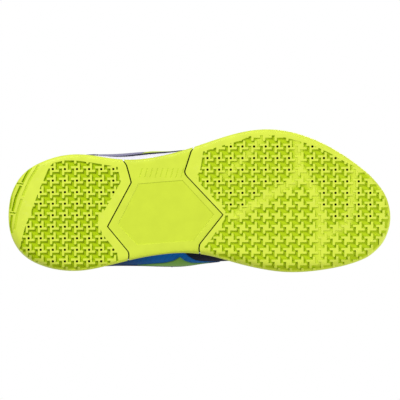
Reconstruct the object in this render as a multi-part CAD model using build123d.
from build123d import *
import math
import os

import numpy as np

# Court shoe, right foot, free standing on its sole.
# Frame: +X towards the toe, +Y towards the medial side, +Z up, millimetres.
# Origin: centre of the heel's ground contact, HEEL_BACK forward of the rearmost point of the sole.
# A "station" is the distance from that rearmost point: X = station - HEEL_BACK.

# ---------------------------------------------------------------- driving dimensions (mm)
HEEL_BACK = 50.0        # rearmost point of the sole to the origin
FEATHER_INSET = 4.5     # upper's bottom edge, in from the widest sole contour
GAP = 0.12              # clearance between bonded layers

RUBBER = 4.6            # outsole thickness
FLAT_FROM, FLAT_TO = 18.0, 192.0    # stations of the flat ground contact
JOINT_HALF_GAP = 0.45   # half of the gap between outsole pieces
SOLE_FROM, SOLE_TO = -5, 290        # stations just beyond both ends of the sole

FLEX_STATION = 190.0    # forefoot flex line
FLEX_Z = 24.5           # height of the flex axis
FLEX_MAX = 30.0         # degrees
FLEX_HALF_GAP = 0.12    # half of the clearance at the flex line

WAIST_RISE = 7.0        # midsole's lower, wider part above the outsole
LOWER_INSET, UPPER_INSET = 1.2, 3.0     # midsole edges, in from the widest contour
# cushions: station, y, radius along, radius across, floor height
HEEL_CUSHION = (48, 0, 33, 25, 15.2)
FOREFOOT_CUSHION = (222, -7, 27, 30, 13.2)

BOARD = 1.4             # lasting board's top above the midsole
BOARD_INSET = 8.4       # board edge, in from the widest contour
FOOTBED = 3.9           # insole thickness
FOOTBED_INSET = BOARD_INSET + 0.8

SHELL = 1.8             # thickness of the upper's base material
PANEL_LOW, PANEL_HIGH = 0.012, 0.985    # height shares of the base panels' edges
OVERLAY = 1.1           # overlays on the upper
OVERLAY_IN = 0.35       # their inner face, out from the nominal surface
OVERLAY_OUT = OVERLAY_IN + OVERLAY
COLLAR_FOAM = 5.0
COLLAR_OUT = -SHELL - 1.7           # offset of the collar pad's outer face

THROAT_ROW = 7.0        # row where the throat begins; behind it the tongue stands free
TONGUE_OUT = -SHELL - 0.9           # outer face of the tongue, below the quarters
TONGUE_SHELL = 1.2
TONGUE_FOAM = 3.6
PAD_OUT = TONGUE_OUT - TONGUE_SHELL - 0.75

LACE_W, LACE_T = 5.6, 1.5
LACE_ROWS = [7.25, 8.05, 8.85, 9.65, 10.4, 11.05]
LACE_IN = OVERLAY_OUT + GAP         # offset of the laces' underside
LACE_OUT = LACE_IN + LACE_T
KNOT_ROW = LACE_ROWS[0]
KNOT_RADII = (6.5, 8.0)             # along, across
KNOT_HEIGHT = 6.4
KNOT_FILLET = 2.4
KNOT_RISE = 4.2         # knot centre above the lace rows
KNOT_TILT = 22          # degrees about Y
BOW_W, BOW_T = 4.6, 1.9             # oval section of bow loops and tails
AGLET_RADIUS, AGLET_LENGTH = 1.35, 17
AGLET_START = 1.2       # past the end of the tail

LATERAL, MEDIAL = -1, 1             # signs of Y

# ---------------------------------------------------------------- measured tables
# widest contour of the sole: (station, y); lateral heel to toe, then medial toe to heel
OUT_LAT = [(0, 2.6), (1.5, -11.2), (4.5, -19.3), (8.9, -26.6), (16.4, -33.5), (28.3, -39.4),
           (40.2, -42.8), (52.1, -43.8), (64, -42.8), (75.9, -40.8), (87.8, -39.7),
           (99.7, -40.2), (111.6, -42.0), (123.5, -44.8), (135.4, -48.2), (147.3, -52.2),
           (159.2, -56.2), (171.1, -59.6), (183, -61.8), (194.9, -62.4), (206.8, -61.2),
           (218.7, -58.3), (230.6, -53.8), (242.5, -47.7), (254.4, -40.2), (266.4, -31.0),
           (272.3, -25.3), (278.3, -18.0), (281.8, -12.0), (284.2, -4.0)]
OUT_MED = [(285, 4.5), (283.8, 11.7), (281.5, 18.0), (278.3, 23.6), (272.3, 29.6), (266.4, 33.7),
           (254.4, 38.2), (242.5, 41.0), (230.6, 42.9), (218.7, 44.0), (206.8, 44.1),
           (194.9, 42.8), (183, 40.6), (171.1, 37.7), (159.2, 34.2), (147.3, 31.2),
           (135.4, 29.8), (123.5, 29.9), (111.6, 31.2), (99.7, 33.1), (87.8, 35.8),
           (75.9, 38.8), (64, 41.6), (52.1, 43.2), (40.2, 42.8), (28.3, 40.4), (16.4, 35.3),
           (8.9, 29.0), (4.5, 22.3), (1.5, 14.9)]

# ground curve and midsole top curve along the shoe: (station, z)
GROUND = [(-6, 5.2), (0, 3.6), (6, 1.6), (12, 0.4), (18, 0), (60, 0), (120, 0), (180, 0),
          (195, 0.05), (215, 0.8), (235, 2.8), (255, 6.3), (270, 9.9), (285, 14.3), (292, 16.6)]
MIDTOP = [(-6, 27.2), (0, 27), (30, 26.5), (60, 25.5), (100, 23.4), (140, 21), (170, 19.6),
          (200, 19.2), (225, 20.4), (250, 23.2), (270, 26.6), (285, 29.6), (292, 31)]

# outsole joints, (station, y), lateral to medial: heel to midfoot piece, midfoot to forefoot piece
HEEL_JOINT = [(84, -48), (86, -38.7), (88.1, -35.7), (90, -29), (91.7, -22.7), (74, 10.1),
              (89.7, 29.1), (90, 32.3), (87, 46)]
FORE_JOINT = [(139.5, -60), (138.2, -48.8), (136.2, -45.8), (131.3, -30.5), (132.5, -27.9),
              (160, 1.3), (142.5, 23.3), (142.1, 26.6), (145, 46)]

# rows of the upper, heel to toe: station of the feather edge,
# top point lateral (station, y, z), top point medial,
# lower tangent (out, up) lateral, medial, upper tangent (out, up),
# share of straight sideways direction at the top
ROWS = [
    (0.0, (7, 1, 84), (7, 1, 84), (7, 16), (7, 16), (4, -18), 0.0),
    (8.9, (10, -14, 83.5), (10, 15.5, 83.5), (7, 16), (7, 16), (4, -18), 0.0),
    (25.0, (22, -25, 79.5), (22, 26, 80), (7, 16), (7, 16), (5, -17), 0.0),
    (48.0, (43, -31, 70), (43, 31, 71.5), (8, 15), (8, 15), (6, -14), 0.0),
    (75.0, (68, -32.5, 64), (68, 32.5, 66), (14, 12), (7.6, 12), (9, -12), 0.0),
    (103.0, (95, -31.5, 70), (95, 31, 73), (19, 12), (18.0, 12), (9, -13), 0.0),
    (126.0, (113, -28.5, 84.5), (113, 27.5, 86), (12.0, 13), (23.6, 13), (11, -15), 0.2),
    (142.0, (125, -25, 91), (125, 23.5, 91), (6, 14), (23.0, 13), (13, -14), 0.5),
    (160.0, (141, -19.5, 85), (141, 17, 85), (4, 15), (14.6, 14), (15, -11), 0.8),
    (176.0, (158, -15.5, 77.8), (158, 12, 77.8), (3, 16), (6, 15), (16, -8), 1.0),
    (190.0, (172.5, -12, 71.5), (172.5, 7.5, 71.5), (2.5, 16), (3.5, 16), (17, -5), 1.0),
    (202.0, (181.5, -7.5, 68), (181.5, 2.3, 68), (2, 16), (2.5, 16), (18, -2), 1.0),
    (214.0, (187, -2.7, 66), (187, -2.7, 66), (2, 16), (2, 16), (19, 0), 1.0),
    (227.0, (198, -2.3, 63), (198, -2.3, 63), (2, 16), (2, 16), (19, 0), 1.0),
    (240.0, (212, -1.5, 60), (212, -1.5, 60), (2, 16), (2, 15.5), (17.5, 0), 1.0),
    (253.0, (226, -0.4, 57), (226, -0.4, 57), (2, 15), (2, 15), (15, 0), 0.9),
    (264.5, (239, 0.9, 54), (239, 0.9, 54), (2, 14.5), (2, 14.5), (12.5, 0), 0.6),
    (274.0, (249, 2.1, 51.6), (249, 2.1, 51.6), (2, 14.5), (2, 14.5), (11, 0), 0.3),
    (281.0, (256, 3.0, 49.8), (256, 3.0, 49.8), (2, 14.5), (2, 14.5), (10, 0), 0.1),
    (285.0, (259, 3.5, 49), (259, 3.5, 49), (2, 14.5), (2, 14.5), (10, 0), 0.0),
]
# a row position runs from 0 at the heel along the lateral side to TOE_ROW at the toe,
# and back along the medial side to ROW_COUNT at the heel
TOE_ROW = len(ROWS) - 1
ROW_COUNT = 2 * TOE_ROW


# ---------------------------------------------------------------- curves
def unit(vectors):
    return vectors / np.maximum(np.linalg.norm(vectors, axis=-1), 1e-9)[..., None]


def bezier(t, start, ctrl0, ctrl1, end):
    return ((1 - t) ** 3 * start + 3 * t * (1 - t) ** 2 * ctrl0
            + 3 * t * t * (1 - t) * ctrl1 + t ** 3 * end)


def path_length(points):
    """Length along a polyline at each of its points."""
    return np.concatenate([[0], np.cumsum(np.linalg.norm(np.diff(points, axis=0), axis=1))])


def catmull_rom(points, closed, count):
    """Centripetal Catmull-Rom curve, count points a span; an open curve's last span is straight."""
    pts = np.array(points, float)
    if closed:
        pts = np.vstack([pts[-2:], pts, pts[:3]])
    else:
        pts = np.vstack([2 * pts[0] - pts[1], pts, 2 * pts[-1] - pts[-2]])
    knots = np.sqrt(np.linalg.norm(np.diff(pts, axis=0), axis=1))
    knots = np.concatenate([[0], np.cumsum(knots)])

    def blend(t, t_start, t_end, start, end):
        return (t_end - t) / (t_end - t_start) * start + (t - t_start) / (t_end - t_start) * end

    spans = []
    for i in range(2 if closed else 1, len(pts) - 3):
        p0, p1, p2, p3 = pts[i - 1:i + 3]
        t0, t1, t2, t3 = knots[i - 1:i + 3]
        t = np.linspace(t1, t2, count, endpoint=False)[:, None]
        mid = blend(t, t1, t2, p1, p2)
        before = blend(t, t0, t2, blend(t, t0, t1, p0, p1), mid)
        after = blend(t, t1, t3, mid, blend(t, t2, t3, p2, p3))
        spans.append(blend(t, t1, t2, before, after))
    curve = np.vstack(spans)
    return curve if closed else np.vstack([curve, pts[-2]])


GROUND_CURVE = catmull_rom(GROUND, False, 12).T
MIDTOP_CURVE = catmull_rom(MIDTOP, False, 12).T


def ground_z(station):
    return np.interp(station, *GROUND_CURVE)


def midtop_z(station):
    return np.interp(station, *MIDTOP_CURVE)


def even_outline(count=1440):
    """Evenly spaced contour points and outward normals, from the rearmost point, lateral first."""
    pts = catmull_rom(OUT_LAT + OUT_MED, True, 16)
    for _ in range(3):      # light smoothing
        pts = (np.roll(pts, 4, 0) + 2 * pts + np.roll(pts, -4, 0)) / 4
    ring = np.vstack([pts, pts[:1]])
    along = path_length(ring)
    even = np.linspace(0, along[-1], count, endpoint=False)
    pts = np.stack([np.interp(even, along, ring[:, i]) for i in range(2)], 1)
    pts = np.roll(pts, -int(np.argmin(pts[:, 0])), 0)
    tangent = unit(np.roll(pts, -3, 0) - np.roll(pts, 3, 0))
    return pts, np.stack([tangent[:, 1], -tangent[:, 0]], 1)


OUTLINE, OUTLINE_NORMAL = even_outline()
OUTLINE_COUNT = len(OUTLINE)
TOE_INDEX = int(np.argmax(OUTLINE[:, 0]))


def outline_at(fraction, inset):
    """Inset point and outward normal at a fraction (0..1) of the outline's length."""
    place = np.mod(np.asarray(fraction, float), 1.0) * OUTLINE_COUNT
    i = np.floor(place).astype(int) % OUTLINE_COUNT
    j = (i + 1) % OUTLINE_COUNT
    share = (place - np.floor(place))[..., None]
    point = OUTLINE[i] * (1 - share) + OUTLINE[j] * share
    normal = unit(OUTLINE_NORMAL[i] * (1 - share) + OUTLINE_NORMAL[j] * share)
    return point - normal * inset, normal


def outline_fraction(side, station):
    """Outline fraction at a station on one side."""
    if side == LATERAL:
        i = np.arange(0, TOE_INDEX + 1)
        return float(np.interp(station, OUTLINE[i, 0], i / OUTLINE_COUNT))
    i = np.arange(TOE_INDEX, OUTLINE_COUNT + 1)
    return float(np.interp(-station, -OUTLINE[i % OUTLINE_COUNT, 0], i / OUTLINE_COUNT))


# ---------------------------------------------------------------- nominal surface of the upper
def make_row_table():
    """Rows right round the shoe: outline fraction, top point, low tangent, high tangent, straight."""
    lateral, medial = [], []
    for i, (station, top_lat, top_med, low_lat, low_med, high, straight) in enumerate(ROWS):
        if i == 0:
            fraction = 0.0
        elif i == TOE_ROW:
            fraction = TOE_INDEX / OUTLINE_COUNT
        else:
            fraction = outline_fraction(LATERAL, station)
            medial.append([outline_fraction(MEDIAL, station), *top_med, *low_med, *high, straight])
        lateral.append([fraction, *top_lat, *low_lat, *high, straight])
    return np.array(lateral + medial[::-1], float)


ROW_TABLE = make_row_table()


def row_params(row):
    """Catmull-Rom interpolation of the row table, periodic in row."""
    place = np.mod(row, ROW_COUNT)
    i = np.floor(place).astype(int) % ROW_COUNT
    x = (place - np.floor(place))[..., None]
    p0, p1, p2, p3 = [ROW_TABLE[(i + k) % ROW_COUNT].copy() for k in (-1, 0, 1, 2)]
    for near in (p0, p2, p3):       # the outline fraction wraps at the heel
        near[..., 0] += np.round(p1[..., 0] - near[..., 0])
    cubic = -0.5 * p0 + 1.5 * p1 - 1.5 * p2 + 0.5 * p3
    square = p0 - 2.5 * p1 + 2 * p2 - 0.5 * p3
    linear = -0.5 * p0 + 0.5 * p2
    return ((cubic * x + square) * x + linear) * x + p1


def nominal(row, height):
    """Outer surface at a row and a height share (0 feather edge, 1 top line): station, y, z."""
    row, height = np.broadcast_arrays(np.asarray(row, float), np.asarray(height, float))
    params = row_params(row)
    feather, normal = outline_at(params[..., 0], FEATHER_INSET)
    side = np.where(np.mod(row, ROW_COUNT) < TOE_ROW, -1.0, 1.0)
    sideways = np.stack([np.zeros_like(side), side], -1)
    straight = params[..., 8:9]
    top_normal = unit(normal * (1 - straight) + sideways * straight)
    foot = np.concatenate([feather, midtop_z(feather[..., 0])[..., None]], -1)
    top = params[..., 1:4]
    low_ctrl = foot + np.concatenate([normal * params[..., 4:5], params[..., 5:6]], -1)
    high_ctrl = top + np.concatenate([top_normal * params[..., 6:7], params[..., 7:8]], -1)
    return bezier(height[..., None], foot, low_ctrl, high_ctrl, top)


def surf(row, height, offset=0.0):
    """Nominal surface moved out along its normal."""
    row, height, offset = np.broadcast_arrays(
        np.asarray(row, float), np.asarray(height, float), np.asarray(offset, float))
    step = 0.02
    along = nominal(row + step, height) - nominal(row - step, height)
    up = (nominal(row, np.minimum(height + step, 1.0))
          - nominal(row, np.maximum(height - step, 0.0)))
    return nominal(row, height) + unit(np.cross(along, up)) * offset[..., None]


# ---------------------------------------------------------------- solids
def at(station, y, z):
    return Vector(float(station) - HEEL_BACK, float(y), float(z))


def plan_extrude(wire, depth=70):
    return Solid.extrude(Face(wire), Vector(0, 0, depth))


def outline_prism(inset):
    """The sole contour moved in by inset, as a tall prism."""
    points = outline_at(np.arange(96) / 96, inset)[0]
    return plan_extrude(Wire([Edge.make_spline([at(x, y, -10) for x, y in points],
                                               periodic=True)]))


def plan_prism(points):
    return plan_extrude(Wire.make_polygon([at(x, y, -10) for x, y in points], close=True))


def curve_points(curve, stations):
    return [at(station, -90, curve(station)) for station in stations]


def band(low, high, start=SOLE_FROM, end=SOLE_TO):
    """Solid between two height curves, wider than the shoe."""
    stations = np.linspace(start, end, 44)
    lower, upper = curve_points(low, stations), curve_points(high, stations)
    wire = Wire([Edge.make_spline(lower), Edge.make_line(lower[-1], upper[-1]),
                 Edge.make_spline(upper), Edge.make_line(upper[0], lower[0])])
    return Solid.extrude(Face(wire), Vector(0, 180, 0))


def tread_band(high):
    """As band, up from the ground curve, with a truly flat face between heel rise and toe spring."""
    heel = curve_points(ground_z, np.linspace(SOLE_FROM, FLAT_FROM - 0.5, 9))
    heel.append(at(FLAT_FROM, -90, 0))
    toe = [at(FLAT_TO, -90, 0)]
    toe += curve_points(ground_z, np.linspace(FLAT_TO + 4, SOLE_TO, 14))
    top = curve_points(high, np.linspace(SOLE_FROM, SOLE_TO, 44))
    wire = Wire([Edge.make_spline(heel), Edge.make_line(heel[-1], toe[0]), Edge.make_spline(toe),
                 Edge.make_line(toe[-1], top[-1]), Edge.make_spline(top),
                 Edge.make_line(top[0], heel[0])])
    return Solid.extrude(Face(wire), Vector(0, 180, 0))


def ellipse_prism(station, y, radius_along, radius_across, floor, clear=0.0):
    """Upright elliptic prism from its floor to z 40, shrunk all round by clear."""
    floor += clear
    face = Face(Wire.make_ellipse(radius_along - clear, radius_across - clear))
    face = face.moved(Location((station - HEEL_BACK, y, floor)))
    return Solid.extrude(face, Vector(0, 0, 40 - floor))


def largest(shape):
    """The largest solid of a boolean's result."""
    return max(shape.solids(), key=lambda solid: solid.volume)


def keep_front(shape):
    """Keep what lies ahead of the flex line, with a wedge of room above its axis."""
    slope = math.tan(math.radians(FLEX_MAX + 1.0))
    x0 = FLEX_STATION - HEEL_BACK + FLEX_HALF_GAP
    z0 = FLEX_Z - 0.6
    profile = [(x0, -20), (x0, z0), (x0 + (130 - z0) * slope, 130), (300, 130), (300, -20)]
    face = Face(Wire.make_polygon([Vector(x, -120, z) for x, z in profile], close=True))
    return largest(shape & Solid.extrude(face, Vector(0, 240, 0)))


def keep_back(shape):
    """Keep what lies behind the flex line."""
    start = -60
    box = Solid.make_box(FLEX_STATION - FLEX_HALF_GAP - start, 240, 240)
    return largest(shape & box.moved(Location((start - HEEL_BACK, -120, -60))))


def skin(outer, inner):
    """Closed solid between two grids of points."""
    outer_face, inner_face = [
        Face.make_surface_from_array_of_points([[at(*p) for p in line] for line in grid], tol=1e-3)
        for grid in (outer, inner)]
    faces = [outer_face, inner_face]
    for edge in outer_face.edges():
        middle = edge @ 0.5
        mate = min(inner_face.edges(), key=lambda other: ((other @ 0.5) - middle).length)
        if ((edge @ 0) - (mate @ 0)).length > ((edge @ 0) - (mate @ 1)).length:
            mate = mate.reversed()
        faces.append(Face.make_surface_from_curves(edge, mate))
    solid = Solid(Shell(faces))
    if solid.volume < 0:        # guards against an inside-out shell
        faces = [face.reversed() if hasattr(face, "reversed") else face for face in faces]
        solid = Solid(Shell(faces))
    return solid


def patch(row0, row1, low, high, inner, outer, per_row=3.0, levels=13):
    """Part of the upper between two rows and two height shares, from inner to outer offset."""
    first = math.ceil((row0 + 0.1) * per_row)
    last = math.floor((row1 - 0.1) * per_row)
    rows = np.concatenate([[row0], np.arange(first, last + 1) / per_row, [row1]])
    row, height = np.meshgrid(rows, np.linspace(low, high, levels), indexing="ij")
    return skin(surf(row, height, outer), surf(row, height, inner))


parts = {}


# ---------------------------------------------------------------- outsole
def rubber_top(station):
    return ground_z(station) + RUBBER


def shank_bottom(station):
    """Underside of the midfoot piece, arched clear of the ground."""
    return ground_z(station) + 1.1 + 1.4 * np.sin(np.clip((station - 74) / 86, 0, 1) * math.pi)


def shifted(line, move):
    return [(x + move, y) for x, y in line]


sole_body = outline_prism(0.0)
rubber = sole_body & tread_band(rubber_top)
shank = sole_body & band(shank_bottom, rubber_top, 60, 175)
heel_zone = plan_prism(shifted(HEEL_JOINT, -JOINT_HALF_GAP) + [(-30, 60), (-30, -60)])
shank_zone = plan_prism(shifted(HEEL_JOINT, JOINT_HALF_GAP)
                        + shifted(FORE_JOINT, -JOINT_HALF_GAP)[::-1])
fore_zone = plan_prism(shifted(FORE_JOINT, JOINT_HALF_GAP) + [(300, 70), (300, -80)])
parts["heel_outsole"] = largest(rubber & heel_zone)
parts["shank_outsole"] = largest(shank & shank_zone)
forefoot = rubber & fore_zone
parts["forefoot_outsole_ball"] = keep_back(forefoot)
parts["forefoot_outsole_toe"] = keep_front(forefoot)


# ---------------------------------------------------------------- midsole and cushions
def above_midsole(rise):
    """Height curve at a constant rise over the midsole's top."""
    return lambda station: midtop_z(station) + rise


def waist(station):
    return rubber_top(station) + WAIST_RISE


midsole_top = above_midsole(-GAP)
midsole_low = outline_prism(LOWER_INSET) & band(lambda x: rubber_top(x) + GAP, waist)
midsole_high = outline_prism(UPPER_INSET) & band(lambda x: waist(x) - 0.01, midsole_top)
midsole = largest(midsole_low + midsole_high)
parts["midsole_rear"] = largest(keep_back(midsole) - ellipse_prism(*HEEL_CUSHION))
parts["midsole_toe"] = largest(keep_front(midsole) - ellipse_prism(*FOREFOOT_CUSHION))
for name, cushion in (("heel", HEEL_CUSHION), ("forefoot", FOREFOOT_CUSHION)):
    parts[name + "_cushion"] = largest(ellipse_prism(*cushion, clear=GAP)
                                       & band(lambda x: 10, midsole_top))

# ---------------------------------------------------------------- lasting board and insole
board = outline_prism(BOARD_INSET) & band(above_midsole(GAP), above_midsole(BOARD))
insole = outline_prism(FOOTBED_INSET) & band(above_midsole(BOARD + GAP),
                                             above_midsole(BOARD + GAP + FOOTBED))
for name, sheet in (("lasting_board", board), ("insole", insole)):
    parts[name + "_rear"] = keep_back(sheet)
    parts[name + "_toe"] = keep_front(sheet)


# ---------------------------------------------------------------- upper, base layers
def base_panel(row0, row1):
    return patch(row0, row1, PANEL_LOW, PANEL_HIGH, -SHELL, 0)


def forefoot_section(station, offset):
    """Cross-section of the closed forefoot, lateral feather edge to medial, 25 even points."""
    shares = np.linspace(0, 1, 41)
    toe_line = surf(float(TOE_ROW), shares, offset)
    crest = 1.0         # height share where the two sides meet
    if station > toe_line[-1, 0]:
        front = int(np.argmax(toe_line[:, 0]))
        crest = float(np.interp(-station, -toe_line[front:, 0], shares[front:]))
    height = np.linspace(0, crest, 50)
    sides = []
    for side in (LATERAL, MEDIAL):
        low, high = np.full(50, THROAT_ROW), np.full(50, float(TOE_ROW))
        for _ in range(22):     # bisect for the row that lies at this station
            mid = 0.5 * (low + high)
            x = surf(mid if side == LATERAL else ROW_COUNT - mid, height, offset)[:, 0]
            low, high = np.where(x < station, mid, low), np.where(x < station, high, mid)
        sides.append(surf(low if side == LATERAL else ROW_COUNT - low, height, offset))
    curve = np.vstack([sides[0], sides[1][-2::-1]])
    curve[:, 0] = station
    along = path_length(curve)
    even = np.linspace(0, along[-1], 25)
    return np.stack([np.interp(even, along, curve[:, i]) for i in range(3)], 1)


parts["heel_panel"] = base_panel(-3.6, 3.6)
parts["quarter_lateral"] = base_panel(3.65, 8.6)
parts["quarter_medial"] = base_panel(ROW_COUNT - 7.2, ROW_COUNT - 3.65)
parts["vamp_wing_lateral"] = keep_back(base_panel(8.65, 12.6))
parts["vamp_wing_medial"] = keep_back(base_panel(ROW_COUNT - 12.6, ROW_COUNT - 7.25))

vamp_stations = np.concatenate([np.linspace(188.5, 268, 17), [271.5, 274.5, 277]])
vamp = skin(*[np.array([forefoot_section(x, offset) for x in vamp_stations])
              for offset in (0.0, -SHELL)])
parts["vamp_toe"] = keep_front(vamp & band(above_midsole(GAP), lambda x: 120, 150, 292))

# stiffeners inside the heel and the toe
parts["heel_counter"] = patch(-3.3, 3.3, 0.1, 0.72, -SHELL - 1.3, -SHELL - 0.4)
parts["toe_puff"] = keep_front(patch(TOE_ROW - 3.6, TOE_ROW + 3.6, 0.12, 0.62,
                                     -SHELL - 1.2, -SHELL - 0.4))

# padded collar around the opening
parts["collar_pad"] = patch(-5.0, 5.0, 0.66, 0.965, COLLAR_OUT - COLLAR_FOAM, COLLAR_OUT,
                            per_row=1.0, levels=7)


# ---------------------------------------------------------------- upper, outer layers
def overlay(row0, row1, low, high, extra=0.0):
    return patch(row0, row1, low, high, OVERLAY_IN, OVERLAY_OUT + extra)


parts["heel_wrap"] = overlay(-2.7, 2.7, 0.09, 0.55, extra=0.2)
parts["side_panel_lateral"] = overlay(3.2, 8.2, 0.05, 0.19)
parts["arch_panel_medial"] = overlay(ROW_COUNT - 7.9, ROW_COUNT - 4.8, 0.14, 0.34)
parts["eyestay_lateral"] = keep_back(overlay(6.6, 11.9, 0.74, PANEL_HIGH))
parts["eyestay_medial"] = keep_back(overlay(ROW_COUNT - 11.9, ROW_COUNT - 6.6, 0.74, PANEL_HIGH))
parts["toe_guard"] = keep_front(overlay(TOE_ROW - 5.2, TOE_ROW + 5.2, 0.08, 0.4))


# ---------------------------------------------------------------- tongue
def over(row, across, offset):
    """Surface across the instep: |across| <= 1 spans the throat, beyond it follows the quarters."""
    row, across, offset = np.broadcast_arrays(
        np.asarray(row, float), np.asarray(across, float), np.asarray(offset, float))
    lat_row = np.maximum(row, THROAT_ROW)
    med_row = ROW_COUNT - lat_row
    lat, med = surf(lat_row, 1.0, offset), surf(med_row, 1.0, offset)
    lat_up = unit(lat - surf(lat_row, 0.94, offset))
    med_up = unit(med - surf(med_row, 0.94, offset))
    reach = np.linalg.norm(lat - med, axis=-1)[..., None] * 0.36
    t = np.clip((across + 1) / 2, 0, 1)[..., None]
    arch = bezier(t, lat, lat + lat_up * reach, med + med_up * reach, med)
    height = np.clip(1 - np.maximum(np.abs(across) - 1, 0), 0, 1)
    quarter = surf(np.where(across < 0, lat_row, med_row), height, offset)
    points = np.where((np.abs(across) <= 1)[..., None], arch, quarter)
    # behind the throat the surface runs on backwards, bending up
    beyond = np.maximum(THROAT_ROW - row, 0)[..., None]
    return (points + np.array([-1.0, 0.0, 0.36]) * beyond * 9.0
            + np.array([0.0, 0.0, 1.0]) * beyond ** 2 * 2.0)


def tongue_grid(offset, row0, row1, wing):
    """Side wings (scaled by wing) reach under the quarters; the free top end narrows."""
    free_row = 6.9
    lines = []
    for row in np.linspace(row0, row1, 22):
        half = 1 + 0.13 * min(max((row - free_row) / 0.8, 0.0), 1.0) * wing
        if row < free_row:
            half *= 1.0 - 0.13 * (free_row - row) - 0.012 * (free_row - row) ** 3
        lines.append(over(row, np.linspace(-half, half, 21), offset))
    return np.array(lines)


def tongue_layer(outer, thickness, row0, row1, wing):
    return skin(tongue_grid(outer, row0, row1, wing),
                tongue_grid(outer - thickness, row0, row1, wing))


parts["tongue_shell"] = tongue_layer(TONGUE_OUT, TONGUE_SHELL, 4.4, 11.3, 1.0)
parts["tongue_pad"] = tongue_layer(PAD_OUT, TONGUE_FOAM, 4.5, 10.2, 0.6)


# ---------------------------------------------------------------- lace rows and knot
def lace_strip(row):
    """Flat lace across the throat at one row."""
    across = np.linspace(-1.1, 1.1, 17)
    low, high = over(row, across, LACE_IN), over(row, across, LACE_OUT)
    along = unit(over(row + 0.1, across, LACE_IN) - over(row - 0.1, across, LACE_IN))
    shifts = np.linspace(-0.5, 0.5, 4) * LACE_W
    return skin(np.array([high + along * shift for shift in shifts]),
                np.array([low + along * shift for shift in shifts]))


def lace_knot():
    """Rounded elliptic pad, tilted with the instep."""
    centre = at(*over(KNOT_ROW, 0.0, LACE_OUT + KNOT_RISE))
    knot = plan_extrude(Wire.make_ellipse(*KNOT_RADII), KNOT_HEIGHT)
    knot = knot.moved(Location((0, 0, -KNOT_HEIGHT / 2)))
    knot = knot.fillet(KNOT_FILLET, knot.edges().filter_by(GeomType.ELLIPSE))
    return knot.moved(Location((centre.X, centre.Y, centre.Z), (0, KNOT_TILT, 0)))


parts["lace_rows"] = Compound([lace_strip(row) for row in LACE_ROWS])
parts["lace_knot"] = lace_knot()


# ---------------------------------------------------------------- bow loops, tails, aglets
def hang_path(side, row_shift0, row_shift1, reach, clear, count=14):
    """Path from beside the knot out over one quarter, lying along it at a clearance."""
    start = 0.42
    across = np.linspace(start, 1.0 + reach, count)
    row = np.linspace(KNOT_ROW + row_shift0, KNOT_ROW + row_shift1, count)
    path = over(row, side * across, LACE_OUT + clear)
    path[:, 2] += 4.2 * np.exp(-((across - start) / 0.45) ** 2)     # raised near the knot
    return path


def loop_path(side):
    """Two runs of the lace joined at their far end."""
    reach = 0.46 if side == LATERAL else 0.24
    rear = hang_path(side, -0.05, 0.35, reach, 1.6)
    front = hang_path(side, 0.25, 1.3, reach - 0.02, 1.6)
    t = np.linspace(0, 1, 9)[1:-1, None]
    bend = bezier(t, rear[-1], rear[-1] + (rear[-1] - rear[-2]) * 2.2,
                  front[-1] + (front[-1] - front[-2]) * 2.2, front[-1])
    return np.vstack([rear, bend, front[::-1]])


def oval_sweep(path):
    """Loft of oval rings along a path, turned gradually to face out and up."""
    rings = []
    previous = None
    for point, tangent in zip(path, unit(np.gradient(path, axis=0))):
        normal = np.array([0.0, np.sign(point[1] + 1e-9) * 0.75, 0.66])
        normal = unit(normal - tangent * np.dot(normal, tangent))
        if previous is not None:
            normal = 0.4 * normal + 0.6 * previous
            normal = unit(normal - tangent * np.dot(normal, tangent))
        previous = normal
        plane = Plane(origin=at(*point), x_dir=Vector(*np.cross(tangent, normal)),
                      z_dir=Vector(*tangent))
        rings.append(Wire([Edge.make_ellipse(BOW_W / 2, BOW_T / 2, plane=plane)]))
    return Solid.make_loft(rings)


def aglet(end, direction):
    """Round rod carrying on from the end of a tail."""
    plane = Plane(origin=at(*(end + direction * AGLET_START)), z_dir=Vector(*direction))
    face = Face(Wire([Edge.make_circle(AGLET_RADIUS, plane=plane)]))
    return Solid.extrude(face, Vector(*(direction * AGLET_LENGTH)))


for name, side in (("lateral", LATERAL), ("medial", MEDIAL)):
    parts["bow_loop_" + name] = oval_sweep(loop_path(side)[::2])
    tail = hang_path(side, -0.5, -1.15, 0.42 if side == LATERAL else 0.34, 1.4, count=10)
    parts["lace_tail_" + name] = oval_sweep(tail[:-2])
    parts["aglet_" + name] = aglet(tail[-3], unit(tail[-1] - tail[-3]))

os.makedirs("parts", exist_ok=True)
for name, shape in parts.items():
    export_step(shape, os.path.join("parts", name + ".step"))
